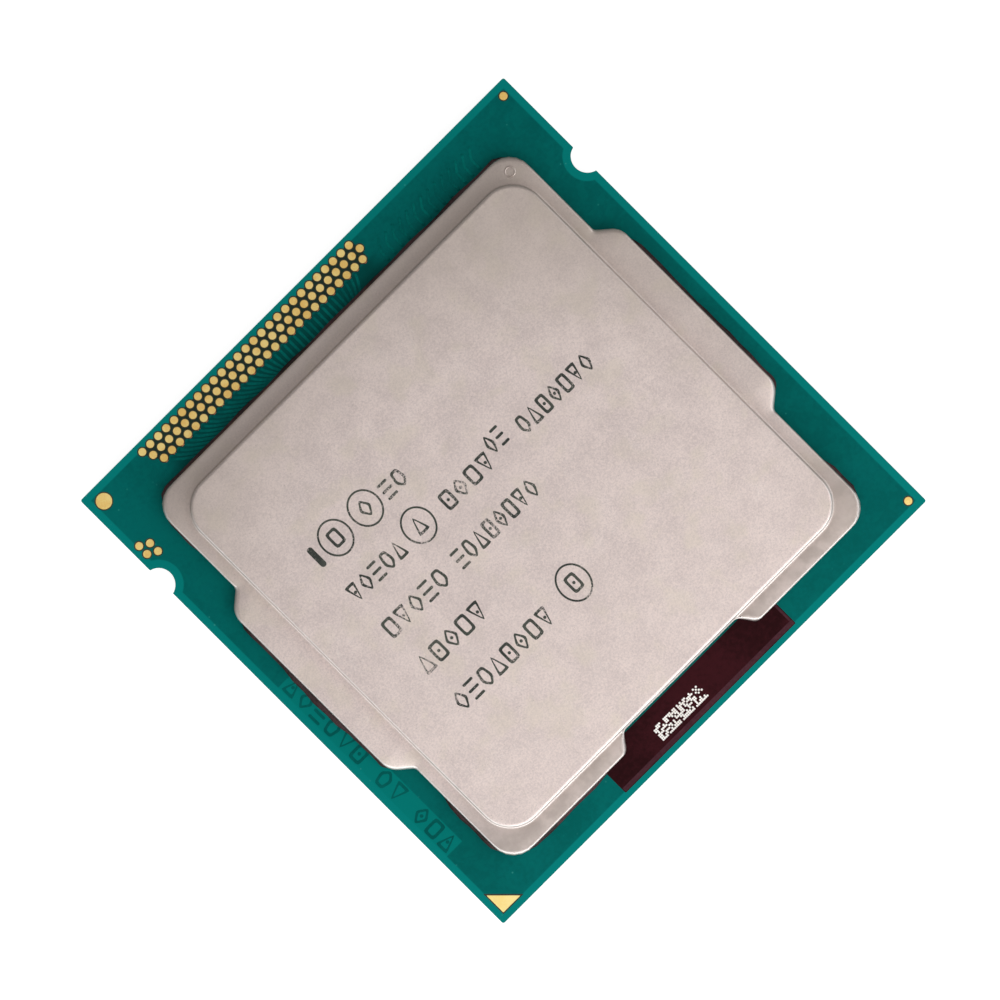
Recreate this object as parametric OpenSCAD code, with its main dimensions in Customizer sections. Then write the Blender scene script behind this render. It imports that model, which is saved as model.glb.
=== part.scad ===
// Desktop processor in a land-grid package: a laminated board that carries a silicon die under a
// plated copper lid, with contact lands and capacitors on its underside.
// The origin is centred on the board, at the lowest point of the underside capacitors. +Z points
// out of the lid, and the corner with the gold triangle is at -X -Y.

/* [Board] */
// Side of the square board
board_side = 37.5; // [37.5:0.5:45]
// Radius of the board's corners
board_corner_r = 0.15; // [0.05:0.05:0.5]
// Thickness of the core
core_t = 0.84; // [0.4:0.02:1.2]
// Thickness of each dielectric build-up layer
buildup_t = 0.12; // [0.05:0.01:0.2]
// Thickness of each outer copper layer
copper_t = 0.02; // [0.01:0.005:0.04]
// Thickness of the lacquer over the copper
mask_t = 0.025; // [0.01:0.005:0.05]
// Width of the margin without copper along the board's edge
copper_margin = 0.45; // [0.2:0.05:1]

/* [Key notches] */
// Distance of the notches from the board's centre line
notch_y = 11.55; // [8:0.05:14]
// Radius of a notch
notch_r = 1.05; // [0.8:0.05:1.3]
// How far the notch's centre lies outside the board's edge
notch_out = 0.25; // [0:0.05:0.5]
// Distance that the copper keeps from a notch's wall
notch_copper_gap = 0.5; // [0.2:0.05:0.8]

/* [Core vias] */
// Number of vias along each side of the grid
via_count = 10; // [4:1:14]
// Distance between vias
via_pitch = 3; // [2:0.1:3.6]
// Radius of a via
via_r = 0.15; // [0.08:0.01:0.25]

/* [Top pads] */
// Distance between the pads of a row
pad_pitch = 0.704; // [0.6:0.002:0.8]
// Radius of a test pad
pad_r = 0.255; // [0.2:0.005:0.28]
// Number of pads in the outer and the middle row
pad_count = 27; // [10:1:27]
// Left end of the outer row
pad_row_x = -13.84; // [-14:0.01:-8]
// Distance of the outer row from the board's centre line
pad_row_y = 18.16; // [17.5:0.01:18.2]
// Gap between a pad and the lacquer round it
pad_gap = 0.07; // [0.02:0.005:0.08]
// Radius of the large fiducial
fiducial_large_r = 0.52; // [0.3:0.01:0.6]
// Radius of the small fiducials
fiducial_small_r = 0.26; // [0.15:0.01:0.4]
// Legs of the triangle at the first contact's corner
marker_leg = 1.55; // [1:0.05:2]

/* [Label patch] */
// Length of the patch
patch_w = 15.05; // [10:0.05:20]
// Height of the patch
patch_d = 2.72; // [2:0.02:3]
// Thickness of the patch
patch_t = 0.012; // [0.005:0.001:0.03]
// Distance from the board's edge to the patch
patch_margin = 0.38; // [0.2:0.02:0.6]

/* [Lid] */
// Distance of the lid's centre from the board's centre along X
lid_x = 0.12; // [-0.5:0.02:0.5]
// Distance of the lid's centre from the board's centre along Y
lid_y = -0.6; // [-1:0.05:0.5]
// Width of the flange
flange_w = 31.66; // [28:0.02:33]
// Depth of the flange
flange_d = 32; // [28:0.02:33]
// Thickness of the flange
flange_t = 1.15; // [0.8:0.05:1.5]
// Radius of the flange's corners
flange_corner_r = 1.6; // [0.8:0.1:2.5]
// Width across the tips of the two wings
wing_span = 34.2; // [33.6:0.02:36]
// Length of a wing along its outer edge
wing_l = 12.6; // [8:0.1:14]
// Slope of the step at each end of a wing, in degrees
wing_slope = 50; // [42:1:60]
// Radius of the hollow bend where that step leaves the flange's edge
wing_root_r = 0.45; // [0.2:0.05:1]
// Radius of the round bend where it reaches the wing's outer edge
wing_tip_r = 1.3; // [0.5:0.05:1.5]
// Length of the cut-out in the front edge, at its bottom
cutout_l = 9.4; // [6:0.1:14]
// Depth of the cut-out
cutout_d = 1.12; // [0.8:0.02:1.2]
// Slope of the step at each end of the cut-out, in degrees
cutout_slope = 55; // [50:1:65]
// Radius of the round bend where that step leaves the flange's edge
cutout_outer_r = 0.65; // [0.2:0.05:0.8]
// Radius of the hollow bend at the bottom of the cut-out
cutout_inner_r = 0.55; // [0.2:0.05:0.8]
// Width of the plateau
plateau_w = 29.66; // [26:0.02:30]
// Depth of the plateau
plateau_d = 29.46; // [26:0.02:29.6]
// Radius of the plateau's corners
plateau_corner_r = 2.2; // [0.8:0.1:3]
// Height of the lid's top above the contact lands
package_h = 4.38; // [4.2:0.02:4.6]
// Width of the cavity under the lid
cavity_w = 25.8; // [24:0.1:27]
// Depth of the cavity under the lid
cavity_d = 25.6; // [24:0.1:26.2]
// Radius of the cavity's corners
cavity_corner_r = 2; // [1:0.1:3]
// Outer radius of the punched ring on the flange
punch_r = 0.38; // [0.2:0.02:0.5]

/* [Sealant] */
// Thickness of the sealant
sealant_t = 0.12; // [0.05:0.01:0.2]
// Distance of the sealant's outer edge inside the flange's edge
sealant_inset = 0.1; // [0:0.05:0.5]
// Length of the vent gap
vent_l = 8; // [2:0.5:10]

/* [Die] */
// Width of the die
die_w = 20.9; // [15:0.1:22]
// Depth of the die
die_d = 8.5; // [6:0.1:12]
// Thickness of the die
die_t = 0.775; // [0.6:0.005:0.8]
// Distance of the die's centre from the board's centre line
die_y = -1.2; // [-2:0.1:2]
// Height of a solder bump
bump_h = 0.08; // [0.05:0.01:0.1]
// Radius of a solder bump
bump_r = 0.15; // [0.05:0.01:0.2]
// Number of bumps across the die
bump_columns = 20; // [5:1:20]
// Number of bumps along the die's depth
bump_rows = 8; // [3:1:8]
// Width of the underfill's foot round the die
underfill_foot = 0.5; // [0.2:0.05:1]
// Height of the underfill's foot
underfill_h = 0.3; // [0.1:0.05:0.6]
// Thickness of the thermal paste
paste_t = 0.06; // [0.02:0.01:0.1]

/* [Capacitors] */
// Length, width and height of a large underside capacitor
cap_large = [1.6, 0.85, 0.52];
// Length, width and height of a small capacitor
cap_small = [1, 0.5, 0.45];
// Share of a capacitor's length that each end cap takes
cap_end_share = 0.24; // [0.15:0.01:0.3]
// Thickness of an end cap on the capacitor's sides
cap_skin = 0.02; // [0.01:0.005:0.03]

/* [Contact lands] */
// Distance between lands
land_pitch = 0.9144; // [0.9:0.0004:0.94]
// Number of land positions along each side
land_grid = 40; // [40:2:40]
// Radius of a land
land_r = 0.31; // [0.2:0.01:0.33]
// How far a land stands out of the lacquer
land_t = 0.02; // [0.01:0.005:0.03]

/* [Hidden] */
$fn = 48;

// Heights of the layers, from the lowest point up.
mask_bottom_z = cap_large[2];
copper_bottom_z = mask_bottom_z + mask_t;
buildup_bottom_z = copper_bottom_z + copper_t;
core_z = buildup_bottom_z + buildup_t;
buildup_top_z = core_z + core_t;
copper_top_z = buildup_top_z + buildup_t;
board_top_z = copper_top_z + copper_t + mask_t;
lid_z = board_top_z + sealant_t;
flange_top_z = lid_z + flange_t;
lid_top_z = mask_bottom_z - land_t + package_h;
die_z = board_top_z + bump_h;
paste_z = die_z + die_t;
cavity_top_z = paste_z + paste_t;

notch_x = board_side / 2 + notch_out;
copper_side = board_side - 2 * copper_margin;
pad_row_step = pad_pitch * sin(60);
pad_recess = 0.015;
pad_t = copper_t + mask_t - pad_recess;
corner_pad_at = [-18.15, 14.13];
fiducial_large_at = [-17.72, 17.68];
fiducial_small_at = [[17.93, 17.93], [17.93, -17.95]];
marker_corner = -18.25;
patch_y = -board_side / 2 + patch_margin;
// The strip without copper along the left edge: where it ends, and its reach from the edge.
strip_ends = [-13.25, 1.7];
strip_reach = 1.83;
trace_w = 0.2;
trace_end_y = 14.5;
// The bare windows in the top copper: their margin round the gold pads, and the side of those
// round the small fiducials.
window_margin = 0.45;
window_side = 1.2;
punch_at = [14.83, 14.25];
punch_depth = 0.03;
punch_w = 0.11;
vent_y = lid_y - flange_d / 2;
die_x = lid_x;
bump_margin = 0.5;
// Places of the capacitors: the rows behind and in front of the die, then those of the land side.
back_row = [10, 1.9, 5.4];
front_row = [6, 2.6, -8];
large_cap_x = [-6.2, -2.1, 2.1, 6.2];
large_cap_y = [-3.6, 0, 3.6];
small_cap_x = [-9.4, -4.15, 0, 4.15, 9.4];
small_cap_y = [-5.4, -3, -1, 1, 3, 5.4];
probe_x = [-7:2:7];
probe_y = 6.7;
land_half = (land_grid - 1) / 2;
// The middle of the grid has no lands: 24 columns by 16 rows.
bare_columns = [8, 31];
bare_rows = [12, 27];
// Rows beside each key notch that lose their outermost land.
notch_rows = [31, 33];

// ---- Outlines ----

// A rectangle with round corners, centred on the origin.
module rounded_rect(w, d, r) {
    square([w - 2 * r, d], center = true);
    square([w, d - 2 * r], center = true);
    for (x = [-1, 1], y = [-1, 1])
        translate([x * (w / 2 - r), y * (d / 2 - r)]) circle(r);
}

// The board's outline, with the two key notches.
module board_outline() {
    difference() {
        rounded_rect(board_side, board_side, board_corner_r);
        for (side = [-1, 1])
            translate([side * notch_x, notch_y]) circle(notch_r);
    }
}

// The copper's outline, which keeps clear of the edge and of the notches.
module copper_outline() {
    difference() {
        square(copper_side, center = true);
        for (side = [-1, 1])
            translate([side * notch_x, notch_y]) circle(notch_r + notch_copper_gap);
    }
}

// Points of an arc about a centre, from one angle to another.
function arc(centre, r, from, to, steps = 6) =
    [for (i = [0:steps]) centre + r * [cos(from + (to - from) * i / steps),
                                       sin(from + (to - from) * i / steps)]];

// A step that leaves a straight edge at the origin, along +X, and rises to another one: a bend, a
// straight at the slope and a second bend. Its length along the edge follows from the rise.
function step_run(rise, slope, r_from, r_to) =
    (r_from + r_to) * sin(slope) + (rise - (r_from + r_to) * (1 - cos(slope))) / tan(slope);
function step_points(rise, slope, r_from, r_to) =
    let (run = step_run(rise, slope, r_from, r_to))
    concat(arc([0, r_from], r_from, -90, slope - 90),
           arc([run, rise - r_to], r_to, 90 + slope, 90));
function backwards(points) = [for (i = [len(points) - 1:-1:0]) points[i]];

// The lid's outline about the lid's centre, drawn in by the inset: its corners, a wing on each
// side, which is centred on the board, and the cut-out in the front edge.
function lid_points(inset) =
    let (
        a = flange_w / 2 - inset,
        b = flange_d / 2 - inset,
        r = flange_corner_r,
        wing_rise = (wing_span - flange_w) / 2,
        wing_step = step_points(wing_rise, wing_slope, wing_root_r, wing_tip_r),
        wing_end = wing_l / 2 + step_run(wing_rise, wing_slope, wing_root_r, wing_tip_r),
        wing_low = -lid_y - wing_end,
        wing_high = -lid_y + wing_end,
        cut_step = step_points(cutout_d, cutout_slope, cutout_outer_r, cutout_inner_r),
        cut_end = cutout_l / 2 + step_run(cutout_d, cutout_slope, cutout_outer_r, cutout_inner_r)
    )
    concat(
        arc([a - r, r - b], r, -90, 0),
        [for (p = wing_step) [a + p[1], wing_low + p[0]]],
        backwards([for (p = wing_step) [a + p[1], wing_high - p[0]]]),
        arc([a - r, b - r], r, 0, 90),
        arc([r - a, b - r], r, 90, 180),
        [for (p = wing_step) [-a - p[1], wing_high - p[0]]],
        backwards([for (p = wing_step) [-a - p[1], wing_low + p[0]]]),
        arc([r - a, r - b], r, 180, 270),
        [for (p = cut_step) [p[0] - cut_end, p[1] - b]],
        backwards([for (p = cut_step) [cut_end - p[0], p[1] - b]])
    );

module lid_outline(inset = 0) {
    translate([lid_x, lid_y]) polygon(lid_points(inset));
}

// The cavity's outline.
module cavity_outline() {
    translate([lid_x, lid_y]) rounded_rect(cavity_w, cavity_d, cavity_corner_r);
}

// ---- Places ----

// The three staggered rows of test pads: the last row is one pad shorter.
module at_test_pads() {
    for (row = [0:2], i = [0:pad_count - 1 - (row == 2 ? 1 : 0)])
        translate([pad_row_x + (i + row / 2) * pad_pitch, pad_row_y - row * pad_row_step])
            children();
}

// Four pads in two staggered columns beside the left notch.
module at_corner_pads() {
    for (i = [0:3])
        translate(corner_pad_at + [(i % 2) * pad_row_step, -i * pad_pitch / 2]) children();
}

// The small fiducials at the two right-hand corners.
module at_small_fiducials() {
    for (at = fiducial_small_at) translate(at) children();
}

module marker_outline(grow = 0) {
    from = marker_corner - grow;
    leg = marker_leg + grow * (2 + sqrt(2));
    polygon([[from, from], [from + leg, from], [from, from + leg]]);
}

// All the outlines that stay bare of lacquer, grown by a gap.
module bare_outlines(gap) {
    at_test_pads() circle(pad_r + gap);
    at_corner_pads() circle(pad_r + gap);
    translate(fiducial_large_at) circle(fiducial_large_r + gap);
    at_small_fiducials() circle(fiducial_small_r + gap);
    marker_outline(gap);
}

// A row given by its number of pieces, their distance and its place along Y.
module in_row(row) {
    for (i = [0:row[0] - 1])
        translate([die_x + (i - (row[0] - 1) / 2) * row[1], row[2], board_top_z]) children();
}

// Small capacitors on the die's side: a row behind the die and a shorter one in front.
module at_die_capacitors() {
    in_row(back_row) rotate(90) children();
    in_row(front_row) children();
}

// Capacitors on the land side, mirrored about both centre lines.
module at_large_capacitors() {
    for (x = large_cap_x, y = large_cap_y)
        translate([x, y, mask_bottom_z]) mirror([0, 0, 1]) children();
}

module at_small_capacitors() {
    for (x = small_cap_x, y = small_cap_y)
        translate([x, y, mask_bottom_z]) mirror([0, 0, 1]) rotate(90) children();
}

// True where the grid has a land: not in the bare middle or just outside its corners, at the
// board's corners, beside the key notches or on the seam between the two fields.
function in_range(v, range) = v >= range[0] && v <= range[1];
function land_here(i, j) =
    let (
        last = land_grid - 1,
        from_side = min(i, last - i),
        from_end = min(j, last - j),
        middle = in_range(i, bare_columns) && in_range(j, bare_rows),
        near_column = from_side == bare_columns[0] - 1 || from_side == bare_columns[0],
        near_row = from_end == bare_rows[0] - 1 || from_end == bare_rows[0],
        seam = (i == last / 2 - 0.5 && j > bare_rows[1]) || (i == last / 2 + 0.5 && j < bare_rows[0]),
        notch = from_side == 0 && in_range(j, notch_rows)
    )
    !(middle || (near_column && near_row) || from_side + from_end < 3 || seam || notch);

// ---- Board ----

module substrate_core() {
    color("#9c8a4a") difference() {
        translate([0, 0, core_z]) linear_extrude(core_t) board_outline();
        via_grid(1);
    }
}

module via_grid(over) {
    for (i = [0:via_count - 1], j = [0:via_count - 1])
        translate([(i - (via_count - 1) / 2) * via_pitch,
                   (j - (via_count - 1) / 2) * via_pitch, core_z - over])
            cylinder(h = core_t + 2 * over, r = via_r);
}

module core_vias() {
    color("#b87340") via_grid(0);
}

module buildup_top() {
    color("#6f7f4a") translate([0, 0, buildup_top_z]) linear_extrude(buildup_t) board_outline();
}

module buildup_bottom() {
    color("#6f7f4a") translate([0, 0, buildup_bottom_z]) linear_extrude(buildup_t) board_outline();
}

// A rectangle given by two opposite corners.
module rect(from, to) {
    translate(from) square(to - from);
}

// The top copper leaves windows round the pads and fiducials and along the left edge.
module copper_plane_top() {
    edge = board_side / 2;
    margin = pad_r + window_margin;
    row_end = pad_row_x + (pad_count - 1) * pad_pitch;
    marker_end = marker_corner + marker_leg + window_margin;
    color("#b87340") translate([0, 0, copper_top_z]) linear_extrude(copper_t) difference() {
        copper_outline();
        rect([pad_row_x - margin, trace_end_y - window_margin], [row_end + pad_pitch + margin, edge]);
        rect([-edge, strip_ends[0]], [-edge + strip_reach, strip_ends[1]]);
        rect([-edge, corner_pad_at[1] - 3 * pad_pitch / 2 - margin],
             [corner_pad_at[0] + pad_row_step + margin, edge]);
        rect([-edge, -edge], [marker_end, marker_end]);
        for (at = fiducial_small_at) translate(at) square(window_side, center = true);
    }
}

module copper_plane_bottom() {
    color("#b87340") translate([0, 0, copper_bottom_z]) linear_extrude(copper_t) copper_outline();
}

// One trace runs from each pad of the last row towards the lid.
module fanout_traces() {
    start_y = pad_row_y - 2 * pad_row_step - pad_r - 0.01;
    color("#b87340") for (i = [0:pad_count - 2])
        translate([pad_row_x + (i + 1) * pad_pitch - trace_w / 2, trace_end_y, copper_top_z])
            cube([trace_w, start_y - trace_end_y, copper_t]);
}

// The lacquer fills the copper's margin and its windows.
module solder_mask_top() {
    color("#00605a") difference() {
        translate([0, 0, copper_top_z]) linear_extrude(copper_t + mask_t) difference() {
            board_outline();
            bare_outlines(pad_gap);
        }
        copper_plane_top();
        fanout_traces();
    }
}

module solder_mask_bottom() {
    color("#00605a") difference() {
        translate([0, 0, mask_bottom_z]) linear_extrude(copper_t + mask_t) board_outline();
        copper_plane_bottom();
    }
}

// ---- Gold pads on the top ----

module test_pads() {
    color("#e3bc62") translate([0, 0, copper_top_z]) at_test_pads() cylinder(h = pad_t, r = pad_r);
}

module corner_test_pads() {
    color("#e3bc62") translate([0, 0, copper_top_z]) at_corner_pads() cylinder(h = pad_t, r = pad_r);
}

module fiducial_large() {
    color("#e3bc62") translate([0, 0, copper_top_z])
        translate(fiducial_large_at) cylinder(h = pad_t, r = fiducial_large_r);
}

module fiducials_small() {
    color("#e3bc62") translate([0, 0, copper_top_z])
        at_small_fiducials() cylinder(h = pad_t, r = fiducial_small_r);
}

module pin_one_marker() {
    color("#f5dc8c") translate([0, 0, copper_top_z]) linear_extrude(pad_t) marker_outline();
}

module label_patch() {
    color("#2e1216") translate([-patch_w / 2, patch_y, board_top_z])
        cube([patch_w, patch_d, patch_t]);
}

// ---- Die and what holds it ----

module silicon_die() {
    color("#5a626c") translate([die_x, die_y, die_z + die_t / 2])
        cube([die_w, die_d, die_t], center = true);
}

module bump_grid() {
    for (i = [0:bump_columns - 1], j = [0:bump_rows - 1])
        translate([die_x + (i / (bump_columns - 1) - 0.5) * (die_w - 2 * bump_margin),
                   die_y + (j / (bump_rows - 1) - 0.5) * (die_d - 2 * bump_margin), board_top_z])
            cylinder(h = bump_h, r = bump_r);
}

module solder_bumps() {
    color("#b9bcc0") bump_grid();
}

// The epoxy fills the gap under the die and climbs a little way up its sides.
module underfill() {
    color("#37342f") difference() {
        translate([die_x, die_y, board_top_z]) linear_extrude(underfill_h)
            rounded_rect(die_w + 2 * underfill_foot, die_d + 2 * underfill_foot, underfill_foot);
        silicon_die();
        bump_grid();
    }
}

module thermal_paste() {
    color("#b5b5b0") translate([die_x, die_y, paste_z]) linear_extrude(paste_t)
        rounded_rect(die_w, die_d, 0.8);
}

// ---- Lid ----

module heat_spreader() {
    color("#cbbdb8") difference() {
        union() {
            translate([0, 0, lid_z]) linear_extrude(flange_t) lid_outline();
            translate([lid_x, lid_y, lid_z]) linear_extrude(lid_top_z - lid_z)
                rounded_rect(plateau_w, plateau_d, plateau_corner_r);
        }
        translate([0, 0, lid_z - 1]) linear_extrude(cavity_top_z - lid_z + 1) cavity_outline();
        translate([punch_at[0], punch_at[1], flange_top_z - punch_depth]) difference() {
            cylinder(h = 1, r = punch_r);
            translate([0, 0, -1]) cylinder(h = 3, r = punch_r - punch_w);
        }
    }
}

// A closed bead except for the vent gap behind the cut-out.
module lid_sealant() {
    color("#1d1312") difference() {
        translate([0, 0, board_top_z]) linear_extrude(sealant_t) difference() {
            lid_outline(sealant_inset);
            cavity_outline();
            translate([lid_x - vent_l / 2, vent_y]) square([vent_l, 4]);
        }
        label_patch();
    }
}

// ---- Capacitors ----

// The ceramic body between the end caps, lying along X on the plane z = 0.
module capacitor_body(size) {
    body_l = size[0] * (1 - 2 * cap_end_share);
    translate([-body_l / 2, -size[1] / 2 + cap_skin, cap_skin])
        cube([body_l, size[1] - 2 * cap_skin, size[2] - 2 * cap_skin]);
}

// The two end caps.
module capacitor_terminals(size) {
    end_l = size[0] * cap_end_share;
    for (side = [-1, 1])
        translate([side * (size[0] - end_l) / 2 - end_l / 2, -size[1] / 2, 0])
            cube([end_l, size[1], size[2]]);
}

module die_capacitor_bodies() {
    color("#8a6f55") at_die_capacitors() capacitor_body(cap_small);
}

module die_capacitor_terminals() {
    color("#c9ccd0") at_die_capacitors() capacitor_terminals(cap_small);
}

module land_capacitor_bodies_large() {
    color("#8a6f55") at_large_capacitors() capacitor_body(cap_large);
}

module land_capacitor_terminals_large() {
    color("#c9ccd0") at_large_capacitors() capacitor_terminals(cap_large);
}

module land_capacitor_bodies_small() {
    color("#8a6f55") at_small_capacitors() capacitor_body(cap_small);
}

module land_capacitor_terminals_small() {
    color("#c9ccd0") at_small_capacitors() capacitor_terminals(cap_small);
}

// ---- Contact lands ----

module land_field(columns) {
    for (i = columns, j = [0:land_grid - 1])
        if (land_here(i, j))
            translate([(i - land_half) * land_pitch, (j - land_half) * land_pitch,
                       mask_bottom_z - land_t])
                cylinder(h = land_t, r = land_r);
}

module lands_left() {
    color("#e3bc62") land_field([0:land_grid / 2 - 1]);
}

module lands_right() {
    color("#e3bc62") land_field([land_grid / 2:land_grid - 1]);
}

module underside_test_pads() {
    color("#e3bc62") for (x = probe_x, y = [-probe_y, probe_y])
        translate([x, y, mask_bottom_z - land_t]) cylinder(h = land_t, r = pad_r);
}

substrate_core();
core_vias();
buildup_top();
buildup_bottom();
copper_plane_top();
copper_plane_bottom();
fanout_traces();
solder_mask_top();
solder_mask_bottom();
test_pads();
corner_test_pads();
fiducial_large();
fiducials_small();
pin_one_marker();
label_patch();
silicon_die();
solder_bumps();
underfill();
thermal_paste();
heat_spreader();
lid_sealant();
die_capacitor_bodies();
die_capacitor_terminals();
land_capacitor_bodies_large();
land_capacitor_terminals_large();
land_capacitor_bodies_small();
land_capacitor_terminals_small();
lands_left();
lands_right();
underside_test_pads();
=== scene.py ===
"""The looks of a desktop processor in a land-grid package, built round its CAD frame.

All lengths in this file are in millimetres, in the frame's own axes: +Z points out of the lid, and
the gold triangle is at the corner at -X -Y. The meshes are scaled to metres when they are made.
"""

import math

import bpy
import numpy as np
from mathutils import Matrix, Vector


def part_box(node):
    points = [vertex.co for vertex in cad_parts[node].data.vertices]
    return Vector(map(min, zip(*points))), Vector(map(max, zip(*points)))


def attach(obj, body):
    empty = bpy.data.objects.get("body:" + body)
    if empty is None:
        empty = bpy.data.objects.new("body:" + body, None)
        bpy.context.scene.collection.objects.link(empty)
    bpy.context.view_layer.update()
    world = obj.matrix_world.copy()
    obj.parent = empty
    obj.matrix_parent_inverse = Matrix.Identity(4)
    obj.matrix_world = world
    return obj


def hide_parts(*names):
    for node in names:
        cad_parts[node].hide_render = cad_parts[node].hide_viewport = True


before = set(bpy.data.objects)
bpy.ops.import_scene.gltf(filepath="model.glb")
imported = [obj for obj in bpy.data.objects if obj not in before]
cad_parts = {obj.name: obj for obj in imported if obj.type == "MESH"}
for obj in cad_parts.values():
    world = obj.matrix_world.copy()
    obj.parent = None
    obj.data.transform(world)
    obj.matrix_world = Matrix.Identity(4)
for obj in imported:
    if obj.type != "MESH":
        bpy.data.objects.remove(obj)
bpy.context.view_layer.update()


def node_box(node):
    """The lowest and the highest corner of a CAD node, in millimetres."""
    low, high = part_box(node)
    return np.array(low) * 1000, np.array(high) * 1000


# ---------------------------------------------------------------- Outlines and meshes


def polar(radius, angle):
    """Points at a distance and an angle from the origin."""
    return np.stack([radius * np.cos(angle), radius * np.sin(angle)], axis=-1)


def rectangle(width, depth, radius, steps=4):
    """A rectangle with round corners, anticlockwise: (points, 2), centred on the origin."""
    angles = np.concatenate([np.linspace(0, np.pi / 2, steps) + k * np.pi / 2 for k in range(4)])
    signs = np.repeat(np.array([[1, 1], [-1, 1], [-1, -1], [1, -1]]), steps, axis=0)
    return signs * (np.array([width, depth]) / 2 - radius) + polar(radius, angles)


def figure(corners, turn, steps=24, blunt=0.93):
    """The unit outline of a regular figure whose corners are cut at the share blunt; without corners
    it is a circle. Its radius is cos(pi/n) / cos(angle from the middle of the nearest side)."""
    angle = np.arange(steps) * 2 * np.pi / steps
    if not corners:
        return polar(np.ones(steps), angle)
    sector = 2 * np.pi / corners
    from_middle = np.mod(angle - turn, sector) - sector / 2
    return polar(np.minimum(np.cos(sector / 2) / np.cos(from_middle), blunt), angle)


def lift(outline, z):
    """An outline (points, 2) as a ring (points, 3) at the height z."""
    return np.concatenate([outline, np.full((len(outline), 1), float(z))], axis=1)


def loft(rings, wrap=False):
    """A closed surface through rings of equal length, given from the top's middle outwards and down.
    Quad (r, i) joins ring r to r + 1 and point i to i + 1. The ends are capped, or joined by wrap."""
    rings = np.asarray(rings, float)
    count, length = rings.shape[:2]
    first = np.arange(count if wrap else count - 1)[:, None]
    along = np.arange(length)[None, :]
    a = first * length + along
    b = (first + 1) % count * length + along
    c = (first + 1) % count * length + (along + 1) % length
    d = first * length + (along + 1) % length
    faces = np.stack([a, b, c, d], axis=-1).reshape(-1, 4).tolist()
    if not wrap:
        faces.append(list(range(length)))
        faces.append(list(range(count * length - 1, (count - 1) * length - 1, -1)))
    return rings.reshape(-1, 3), faces


def plate(outline, bottom, top, edge=0.0):
    """A flat piece with an outline, whose upper edge is bevelled."""
    middle = outline.mean(axis=0)
    reach = np.abs(outline - middle).max()
    inner = middle + (outline - middle) * (1 - edge / reach)
    rings = [lift(inner, top), lift(outline, top - edge), lift(outline, bottom)]
    return loft(rings if edge else [lift(outline, top), lift(outline, bottom)])


def band(outer, inner, bottom, top):
    """A flat ring between two outlines of equal length."""
    return loft([lift(inner, bottom), lift(inner, top), lift(outer, top), lift(outer, bottom)], wrap=True)


def block(size, edge, foot=0.0):
    """A box with rounded edges that stands on z = 0, with a sloping foot of solder if asked."""
    width, depth, height = size
    turn = np.linspace(0, np.pi / 2, 3)
    rings = [
        lift(rectangle(width - 2 * edge * (1 - s), depth - 2 * edge * (1 - s), edge), height - edge * (1 - c))
        for s, c in zip(np.sin(turn), np.cos(turn))
    ]
    if foot:
        rings.append(lift(rectangle(width, depth, edge), foot))
        rings.append(lift(rectangle(width + 0.8 * foot, depth + 0.8 * foot, edge + 0.3 * foot), foot * 0.35))
        rings.append(lift(rectangle(width + 1.7 * foot, depth + 1.7 * foot, edge + 0.6 * foot), 0))
    else:
        rings.append(lift(rectangle(width, depth, edge), edge))
        rings.append(lift(rectangle(width - edge, depth - edge, edge), 0))
    return loft(rings)


def faces_of_copies(faces, offsets):
    """The faces of copies of a shape whose points start at the offsets. The faces are sorted by their
    number of corners, so that each kind is handled as one array."""
    corners = np.array([len(face) for face in faces])
    offsets = np.asarray(offsets)[:, None, None]
    copies = []
    for count in np.unique(corners):
        same = np.array([face for face in faces if len(face) == count])
        copies += (same[None] + offsets).reshape(-1, count).tolist()
    return copies


def repeated(shape, places, quarter=False, flip=False):
    """Copies of a shape at places (count, 3), turned by a quarter or flipped upside down."""
    points, faces = shape
    points = points.copy()
    if quarter:
        points[:, :2] = points[:, 1::-1] * [-1, 1]
    if flip:
        points[:, 2] *= -1
        faces = [face[::-1] for face in faces]
    places = np.asarray(places, float)
    moved = (places[:, None, :] + points[None, :, :]).reshape(-1, 3)
    return moved, faces_of_copies(faces, np.arange(len(places)) * len(points))


def together(shapes):
    """Several shapes as one."""
    offsets = np.cumsum([0] + [len(points) for points, _ in shapes])
    faces = [face for offset, (_, own) in zip(offsets, shapes) for face in faces_of_copies(own, [offset])]
    return np.concatenate([points for points, _ in shapes]), faces


def add_piece(name, shape, material, replaces=(), smooth=True):
    """Makes a shape into a piece of the object, in place of the CAD nodes that it stands for."""
    points, faces = shape
    mesh = bpy.data.meshes.new(name)
    mesh.from_pydata((points / 1000).tolist(), [], faces)
    mesh.polygons.foreach_set("use_smooth", np.full(len(faces), smooth))
    mesh.materials.append(material)
    mesh.update()
    piece = bpy.data.objects.new(name, mesh)
    bpy.context.scene.collection.objects.link(piece)
    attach(piece, "root")
    if replaces:
        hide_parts(*replaces)
    return piece


def finish_node(node, material):
    """Gives a CAD node its material."""
    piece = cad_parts[node]
    piece.data.materials.clear()
    piece.data.materials.append(material)


# ---------------------------------------------------------------- Node trees


def tone(red, green, blue):
    """A display colour, each part from 0 to 255, as linear light."""
    parts = np.array([red, green, blue]) / 255
    linear = np.where(parts <= 0.04045, parts / 12.92, ((parts + 0.055) / 1.055) ** 2.4)
    return (*linear.tolist(), 1.0)


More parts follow.
